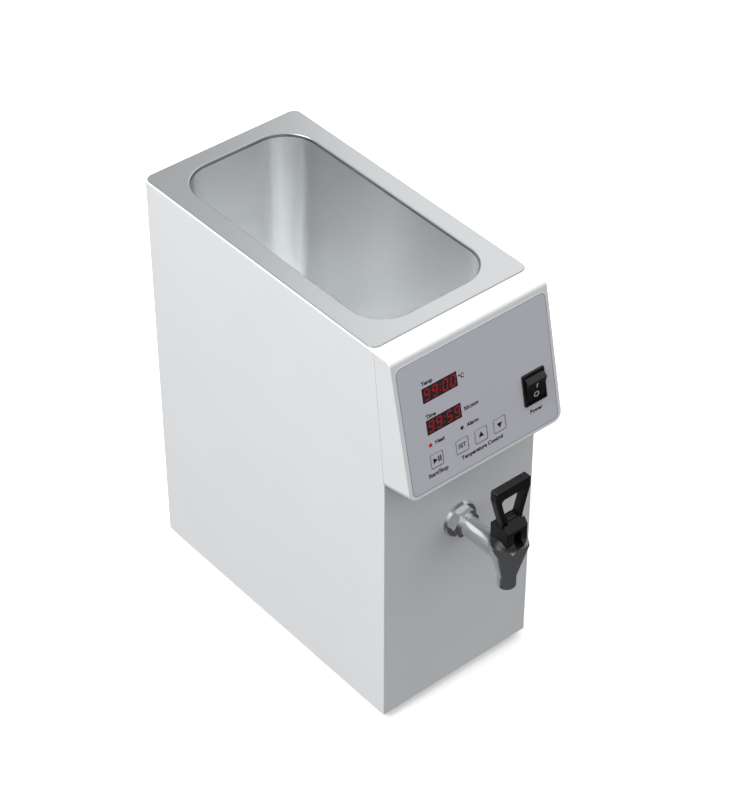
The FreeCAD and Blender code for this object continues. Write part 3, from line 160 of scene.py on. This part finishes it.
def metal(name, colour, roughness, lines, depth=0.000004, variation=0.12, uneven=0.25):
    """Metal whose fine lines run along the axis with the smallest scale."""
    nodes = Nodes(name)
    nodes.set(Metallic=1.0)
    brush = nodes.noise(lines, 5, 0.65)
    cloud = nodes.noise((9, 9, 9), 3)
    nodes.tint(nodes.spread(cloud, 0, 1), shade(colour, 1 - variation), colour)
    rough = nodes.spread(brush, roughness * (1 - uneven), roughness * (1 + uneven))
    nodes.link(rough, nodes.shader.inputs["Roughness"])
    nodes.bump(brush, depth)
    return nodes.material


def glowing(name, colour, strength):
    """A lit segment: coloured plastic that glows a little."""
    nodes = Nodes(name)
    nodes.set(Roughness=0.4, Emission_Strength=strength, Emission_Color=colour)
    fine = nodes.noise((900, 900, 900), 3)
    nodes.tint(nodes.spread(fine, 0, 1), shade(colour, 0.8), colour)
    return nodes.material


def wool(name, colour):
    """Mineral wool: matt, with coarse fibres in flat layers."""
    nodes = Nodes(name)
    nodes.set(Roughness=0.95, Sheen_Weight=0.3)
    fibres = nodes.noise((260, 700, 260), 8, 0.75)
    nodes.tint(nodes.spread(fibres, 0, 1), shade(colour, 0.55), colour)
    nodes.bump(fibres, 0.002, 1.0)
    return nodes.material


def board(name, colour):
    """Circuit board: solder mask with the faint relief of its tracks."""
    nodes = Nodes(name)
    nodes.set(Roughness=0.35, Coat_Weight=0.3)
    tracks = nodes.add("TexVoronoi", feature="DISTANCE_TO_EDGE", distance="CHEBYCHEV")
    nodes.link(nodes.place((220, 220, 220)), tracks.inputs["Vector"])
    edge = nodes.add("MapRange")
    edge.inputs["From Min"].default_value = 0.03
    edge.inputs["From Max"].default_value = 0.06
    nodes.link(tracks.outputs["Distance"], edge.inputs["Value"])
    nodes.tint(edge.outputs["Result"], shade(colour, 1.9), colour)
    nodes.bump(edge.outputs["Result"], 0.00004)
    return nodes.material


WHITE = linear(238, 239, 240)
BLACK = linear(20, 20, 21)
FILM_GREY = linear(207, 206, 214)
LAMP_RED = linear(176, 8, 22)
INK = linear(16, 16, 19)

MATERIALS = {
    "cabinet_paint": moulded("cabinet_paint", WHITE, 0.42, variation=0.02, Coat_Weight=0.08),
    "housing_paint": moulded("housing_paint", WHITE, 0.38, variation=0.02, Coat_Weight=0.12),
    "base_steel": metal("base_steel", linear(170, 172, 174), 0.45, (120, 120, 120),
                        depth=0.00002, variation=0.25),
    "deck_steel": metal("deck_steel", linear(163, 164, 165), 0.3, (2600, 160, 2600),
                        depth=0.0000001, variation=0.03, uneven=0.06),
    "tank_steel": metal("tank_steel", linear(251.3, 252.5, 253.2), 0.31, (700, 700, 60),
                        depth=0.00000003, variation=0.02, uneven=0.03),
    "overlay_film": moulded("overlay_film", FILM_GREY, 0.5, grain=2600, depth=0.00001, variation=0.03),
    "key_grey": moulded("key_grey", FILM_GREY, 0.45, grain=2600, depth=0.00001, variation=0.02),
    "filter_red": moulded("filter_red", linear(50, 43, 43), 0.25, grain=2000, depth=0.000002),
    "black_plastic": moulded("black_plastic", BLACK, 0.4, grain=1800, depth=0.000006, variation=0.15,
                             Specular_IOR_Level=0.35),
    "gloss_black": moulded("gloss_black", linear(16, 16, 17), 0.3, grain=1600, depth=0.00001,
                           Specular_IOR_Level=0.45),
    "lamp_red": moulded("lamp_red", LAMP_RED, 0.25, grain=900, Coat_Weight=0.5,
                        Emission_Color=LAMP_RED, Emission_Strength=0.15),
    "rubber_black": moulded("rubber_black", linear(34, 34, 35), 0.75, grain=1100, depth=0.0001),
    "chrome": metal("chrome", linear(222, 223, 225), 0.22, (60, 60, 60),
                    depth=0.000002, variation=0.05),
    "plated_steel": metal("plated_steel", linear(190, 190, 186), 0.32, (300, 300, 300),
                          depth=0.00001, variation=0.2),
    "mineral_wool": wool("mineral_wool", linear(206, 190, 140)),
    "circuit_board": board("circuit_board", linear(20, 92, 52)),
    "tinned_brass": metal("tinned_brass", linear(208, 190, 130), 0.28, (300, 300, 300),
                          depth=0.00001),
}
INK_MATERIAL = moulded("printed_ink", INK, 0.5, grain=2600, depth=0.000004, variation=0.15)
WHITE_INK = moulded("white_ink", linear(214, 214, 214), 0.5, grain=2600, depth=0.000004)
DIGIT_LIGHT = glowing("digit_light", linear(165, 14, 34), 0.26)
DARK_LAMP = moulded("dark_lamp", linear(42, 38, 40), 0.25, grain=900, Coat_Weight=0.5)


def dress_nodes():
    """Give each CAD node the material of its slot; the alarm lamp is dark."""
    for entry in frame["record"]["subparts"]:
        node = NODES[entry["node"]]
        for slot in node.material_slots:
            slot.material = MATERIALS[entry["material_slot"]]
    NODES["alarm_lamp"].material_slots[0].material = DARK_LAMP


# ---- flat printed marks, and a painted shade line ----

def add_piece(name, mesh, material, body):
    """A mesh as a piece of its own that moves with a body."""
    piece = bpy.data.objects.new(name, mesh)
    bpy.context.scene.collection.objects.link(piece)
    mesh.materials.clear()
    mesh.materials.append(material)
    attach(piece, body)
    return piece


def closed_mesh(name, work):
    """Turn a closed bmesh into a mesh whose faces point outward."""
    mesh = bpy.data.meshes.new(name)
    bmesh.ops.recalc_face_normals(work, faces=work.faces)
    work.to_mesh(mesh)
    work.free()
    return mesh


def prism(outlines, thickness=INK_THICKNESS):
    """A thin solid mesh from closed outlines in a plane, each a list of (x, y)."""
    work = bmesh.new()
    for outline in outlines:
        low = [work.verts.new((x, y, 0)) for x, y in outline]
        high = [work.verts.new((x, y, thickness)) for x, y in outline]
        work.faces.new(list(reversed(low)))
        work.faces.new(high)
        for i in range(len(low)):
            j = (i + 1) % len(low)
            work.faces.new((low[i], low[j], high[j], high[i]))
    return closed_mesh("prism", work)


def band(outer, inner, thickness=INK_THICKNESS):
    """A thin solid frame between two outlines with the same number of points."""
    work = bmesh.new()
    rings = []
    for outline, height in ((outer, 0), (outer, thickness), (inner, thickness), (inner, 0)):
        rings.append([work.verts.new((x, y, height)) for x, y in outline])
    for first, second in zip(rings, rings[1:] + rings[:1]):
        for i in range(len(outer)):
            j = (i + 1) % len(outer)
            work.faces.new((first[i], first[j], second[j], second[i]))
    return closed_mesh("band", work)


def rounded(x, y, width, height, radius, steps=6):
    """Outline of a rounded rectangle about a centre."""
    points = []
    for corner, (sign_x, sign_y) in enumerate(((1, 1), (-1, 1), (-1, -1), (1, -1))):
        centre_x = x + sign_x * (width / 2 - radius)
        centre_y = y + sign_y * (height / 2 - radius)
        for i in range(steps + 1):
            angle = math.pi / 2 * (corner + i / steps)
            points.append((centre_x + radius * math.cos(angle), centre_y + radius * math.sin(angle)))
    return points


def circle(radius, steps=32):
    """Outline of a circle about the origin."""
    turns = [2 * math.pi * i / steps for i in range(steps)]
    return [(radius * math.cos(turn), radius * math.sin(turn)) for turn in turns]


def bar(width, height):
    """Outline of an upright bar about the origin."""
    half_w = width / 2
    half_h = height / 2
    return [(-half_w, -half_h), (half_w, -half_h), (half_w, half_h), (-half_w, half_h)]


def triangle(size, angle):
    """An equilateral triangle about the origin, pointing at an angle."""
    turns = [angle + math.pi * 2 / 3 * i for i in range(3)]
    return [(size * math.cos(turn), size * math.sin(turn)) for turn in turns]


def shifted(outline, x, y=0.0):
    return [(px + x, py + y) for px, py in outline]


def lay(mesh, x, y, out):
    """Move a flat mesh to a place on the panel: across, up and out, in metres."""
    mesh.transform(PANEL @ Matrix.Translation((x, y, out)))
    return mesh


def words(text, size, weight):
    """A mesh of printed words, centred on its middle, with strokes thickened by a weight."""
    curve = bpy.data.curves.new("words", "FONT")
    curve.body = text
    curve.size = size
    curve.align_x = "CENTER"
    curve.align_y = "CENTER"
    curve.offset = weight
    curve.extrude = INK_THICKNESS / 2
    curve.resolution_u = 4
    holder = bpy.data.objects.new("words", curve)
    mesh = bpy.data.meshes.new_from_object(holder)
    bpy.data.objects.remove(holder)
    bpy.data.curves.remove(curve)
    mesh.transform(Matrix.Translation((0, 0, INK_THICKNESS / 2)))
    return mesh


# Name, text, place across the panel and down it, and height of the letters, in millimetres.
LABELS = (
    ("label_temperature", "Temp", -53.2, 29.2, 5.2),
    ("label_degrees", "°C", -16.8, 40.6, 5.8),
    ("label_time", "Time", -53.8, 61.4, 5.3),
    ("label_hours", "hh:mm", -10.2, 72.6, 5.8),
    ("label_heat", "Heat", -48.0, 88.7, 5.3),
    ("label_alarm", "Alarm", -11.0, 88.9, 5.3),
    ("label_start_stop", "Start/Stop", -54.0, 117.9, 5.4),
    ("label_control", "Temperature Control", -4.0, 117.8, 5.3),
    ("label_power", "Power", 59.6, 110.9, 5.4),
)
LABEL_WEIGHT = 0.2 * MM


def print_labels():
    """Plain words beside the displays, lamps, keys and switch."""
    for name, text, x, drop, size in LABELS:
        mesh = lay(words(text, size * MM, LABEL_WEIGHT), x * MM, -drop * MM, FILM)
        add_piece(name, mesh, INK_MATERIAL, "cabinet")


def paint_edge_shade():
    """Painted shade: a thin grey line round the film's raised edge, standing in for the shade there.
    """
    width = 167.3 * MM
    height = 125.9 * MM
    middle = -67.2 * MM
    line = 0.4 * MM
    radius = 5.4 * MM
    outer = rounded(0, middle, width, height, radius, 8)
    inner = rounded(0, middle, width - 2 * line, height - 2 * line, radius - line, 8)
    mesh = lay(band(outer, inner), 0, 0, FILM)
    # This grey line is painted shade at the film's edge, not printed ink.
    edge_shade = moulded("painted_edge_shade", linear(96, 96, 102), 0.5, grain=2600, depth=0.000004)
    add_piece("film_edge_shade_line", mesh, edge_shade, "cabinet")


# ---- displays ----

SEGMENTS = {"0": "abcdef", "5": "acdfg", "9": "abcdfg"}
DIGIT_WIDTH = 4.9 * MM
DIGIT_HEIGHT = 9.7 * MM
DIGIT_STROKE = 1.25 * MM
DIGIT_PLACES = (-14.2 * MM, -5.4 * MM, 6.2 * MM, 14.8 * MM)
DIGIT_LEAN = 0.12
COLON_PLACE = 0.6 * MM
COLON_HALF_GAP = 2.6 * MM
COLON_DOT = 0.62 * MM
DISPLAY_MIDDLE = -40.6 * MM


def segment_outline(letter):
    """One bar of a digit, with pointed ends, as a closed outline about the digit's centre."""
    half_w = DIGIT_WIDTH / 2
    half_h = DIGIT_HEIGHT / 2
    gap = DIGIT_STROKE * 0.12
    middles = {
        "a": ((-half_w, half_h), (half_w, half_h)),
        "b": ((half_w, half_h), (half_w, 0)),
        "c": ((half_w, 0), (half_w, -half_h)),
        "d": ((-half_w, -half_h), (half_w, -half_h)),
        "e": ((-half_w, 0), (-half_w, -half_h)),
        "f": ((-half_w, half_h), (-half_w, 0)),
        "g": ((-half_w, 0), (half_w, 0)),
    }
    start = Vector(middles[letter][0])
    end = Vector(middles[letter][1])
    along = (end - start).normalized()
    across = Vector((-along.y, along.x)) * DIGIT_STROKE / 2
    start = start + along * gap
    end = end - along * gap
    nose = along * DIGIT_STROKE / 2
    points = [start, start + nose + across, end - nose + across, end,
              end - nose - across, start + nose - across]
    return [(point.x, point.y) for point in points]


def slanted(outline, x):
    """An outline moved across the display and leant like its digits."""
    return [(px + x + py * DIGIT_LEAN, py) for px, py in outline]


def light_digits(name, text, drop):
    """Four slanted digits and a colon, lit behind the red filter."""
    outlines = []
    for character, x in zip(text, DIGIT_PLACES):
        for letter in SEGMENTS[character]:
            outlines.append(slanted(segment_outline(letter), x))
    for y in (-COLON_HALF_GAP, COLON_HALF_GAP):
        outlines.append(slanted(shifted(circle(COLON_DOT, 16), 0, y), COLON_PLACE))
    mesh = lay(prism(outlines), DISPLAY_MIDDLE, -drop, FILM + 0.01 * MM)
    add_piece(name, mesh, DIGIT_LIGHT, "cabinet")


# ---- keys and rocker ----

KEYS = ("key_start_stop", "key_set", "key_up", "key_down")
KEY_ROW = -105.4 * MM
KEY_FACE = FILM + 0.15 * MM
KEY_SIDE = 13.6 * MM
KEY_LINE = 0.4 * MM
ARROW = 3.5 * MM


def key_centre(body):
    low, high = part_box(body)
    return (low[0] + high[0]) / 2


def key_outline():
    """The printed square round a key."""
    inside = KEY_SIDE - 2 * KEY_LINE
    outer = rounded(0, 0, KEY_SIDE, KEY_SIDE, 1.5 * MM)
    return band(outer, rounded(0, 0, inside, inside, 1.2 * MM))


def start_stop_symbol():
    """A triangle pointing right, then two upright bars."""
    stroke = bar(1.3 * MM, 5.8 * MM)
    arrow = shifted(triangle(3.3 * MM, 0), -2.4 * MM)
    return prism([arrow, shifted(stroke, 2 * MM), shifted(stroke, 4.1 * MM)])


def key_symbol(key):
    """The printed symbol of one key."""
    if key == "key_set":
        return words("SET", 5.5 * MM, 0.16 * MM)
    if key == "key_start_stop":
        return start_stop_symbol()
    pointing = math.pi / 2 if key == "key_up" else -math.pi / 2
    return prism([triangle(ARROW, pointing)])


def mark_keys():
    """Outline and symbol of each key; they move with it."""
    for key in KEYS:
        x = key_centre(key)
        outline = lay(key_outline(), x, KEY_ROW, KEY_FACE)
        add_piece(key + "_outline", outline, INK_MATERIAL, key)
        symbol = lay(key_symbol(key), x, KEY_ROW, KEY_FACE)
        add_piece(key + "_symbol", symbol, INK_MATERIAL, key)


# The rocker's pivot on the panel, its rest angle, the radius of its hollowed face, and how far
# that face's lowest line stands out from the pivot.
ROCKER_PIVOT = Vector((59.8 * MM, -87.65 * MM, -3.2 * MM))
ROCKER_REST = math.radians(14.6)
ROCKER_HOLLOW = 50.9 * MM
ROCKER_FACE_OUT = 7.03 * MM
ROCKER_MARK_SHIFT = 0.5 * MM
ROCKER_MARK_LIFT = 0.02 * MM
ROCKER_MARK_DEPTH = 0.05 * MM


def rocker_place(x, along):
    """Matrix onto the rocker's hollowed face at rest, at a place across it and along it."""
    angle = along / ROCKER_HOLLOW
    out = ROCKER_FACE_OUT + ROCKER_HOLLOW - ROCKER_HOLLOW * math.cos(angle)
    turn = PANEL.to_3x3() @ Matrix.Rotation(ROCKER_REST, 3, "X")
    point = PANEL @ ROCKER_PIVOT + turn @ Vector((x, ROCKER_HOLLOW * math.sin(angle), out))
    across = turn @ Vector((1, 0, 0))
    normal = turn @ Vector((0, -math.sin(angle), math.cos(angle)))
    place = Matrix((across, normal.cross(across), normal)).transposed().to_4x4()
    place.translation = point + normal * ROCKER_MARK_LIFT
    return place


def mark_rocker():
    """The on and off marks on the rocker's face."""
    on_mark = prism([bar(1.3 * MM, 5.8 * MM)], ROCKER_MARK_DEPTH)
    off_mark = band(circle(2.9 * MM), circle(2.0 * MM), ROCKER_MARK_DEPTH)
    for name, along, mesh in (("rocker_mark_on", 4.6 * MM, on_mark),
                              ("rocker_mark_off", -5.4 * MM, off_mark)):
        mesh.transform(rocker_place(ROCKER_MARK_SHIFT, along))
        add_piece(name, mesh, WHITE_INK, "rocker")


# ---- camera, light and floor ----

CAMERA_PLACE = (-1.1222, -1.3500, 1.7360)
CAMERA_AZIMUTH = math.radians(40)
CAMERA_ELEVATION = math.radians(40.1)
CAMERA_LENS = 113.49


def add_camera():
    """The view from the front left and above."""
    data = bpy.data.cameras.new("camera")
    data.sensor_width = 36
    data.lens = CAMERA_LENS
    data.clip_end = 50
    camera = bpy.data.objects.new("camera", data)
    bpy.context.scene.collection.objects.link(camera)
    level = math.cos(CAMERA_ELEVATION)
    look = Vector((math.sin(CAMERA_AZIMUTH) * level, math.cos(CAMERA_AZIMUTH) * level,
                   -math.sin(CAMERA_ELEVATION)))
    camera.location = CAMERA_PLACE
    camera.rotation_euler = look.to_track_quat("-Z", "Y").to_euler()
    bpy.context.scene.camera = camera
    bpy.context.scene.view_settings.view_transform = "Standard"


# Name, place, target and size in metres, and power in watts.
LIGHTS = (
    ("key_light", (-2.6, 0.7, 3.6), (0, 0, 0.2), (2.4, 2.4), 160),
    ("deck_light", (1.05, 0.72, 1.45), (0.1, 0, 0.43), (0.95, 0.95), 3.4),
    ("front_fill", (0.6, -3.2, 0.5), (0, 0, 0.2), (2.0, 2.0), 3),
    ("tap_glint", (-0.026, -0.133, 0.240), (-0.026, -0.3, 0.19), (0.036, 0.034), 0.003),
)


def add_light(name, place, target, size, power):
    """A rectangular light at a place, facing a target."""
    data = bpy.data.lights.new(name, "AREA")
    data.shape = "RECTANGLE"
    data.size = size[0]
    data.size_y = size[1]
    data.energy = power
    lamp = bpy.data.objects.new(name, data)
    bpy.context.scene.collection.objects.link(lamp)
    lamp.location = place
    lamp.rotation_euler = (Vector(target) - Vector(place)).to_track_quat("-Z", "Y").to_euler()
    return lamp


def add_lights():
    """All lights; the fill leaves no reflection and the glint isn't seen itself."""
    lamps = {light[0]: add_light(*light) for light in LIGHTS}
    lamps["front_fill"].visible_glossy = False
    lamps["tap_glint"].visible_camera = False


def add_world():
    """Soft surround, brighter overhead than low down."""
    world = bpy.data.worlds.new("studio")
    world.use_nodes = True
    bpy.context.scene.world = world
    tree = world.node_tree
    background = tree.nodes["Background"]
    coordinates = tree.nodes.new("ShaderNodeTexCoord")
    split = tree.nodes.new("ShaderNodeSeparateXYZ")
    ramp = tree.nodes.new("ShaderNodeMapRange")
    ramp.inputs["From Min"].default_value = -0.3
    ramp.inputs["From Max"].default_value = 0.6
    ramp.inputs["To Min"].default_value = 0.08
    ramp.inputs["To Max"].default_value = 1.0
    tree.links.new(coordinates.outputs["Generated"], split.inputs["Vector"])
    tree.links.new(split.outputs["Z"], ramp.inputs["Value"])
    tree.links.new(ramp.outputs["Result"], background.inputs["Strength"])
    background.inputs["Color"].default_value = (0.97, 0.985, 1.0, 1)


def add_floor():
    """A plain white floor that glows a little, so that it stays white."""
    mesh = bpy.data.meshes.new("floor")
    half = 6.0
    corners = [(-half, -half, 0), (half, -half, 0), (half, half, 0), (-half, half, 0)]
    mesh.from_pydata(corners, [], [(0, 1, 2, 3)])
    floor = bpy.data.objects.new("floor", mesh)
    bpy.context.scene.collection.objects.link(floor)
    mesh.materials.append(moulded("floor", linear(250, 250, 250), 0.8, grain=60, depth=0.0,
                                  variation=0.01, Emission_Color=(1, 1, 1, 1),
                                  Emission_Strength=0.3))
    floor.visible_diffuse = False
    floor.visible_glossy = False


dress_nodes()
print_labels()
paint_edge_shade()
light_digits("digits_temperature", "9900", 40.6 * MM)
light_digits("digits_time", "9959", 71.7 * MM)
mark_keys()
mark_rocker()
add_camera()
add_world()
add_floor()
add_lights()
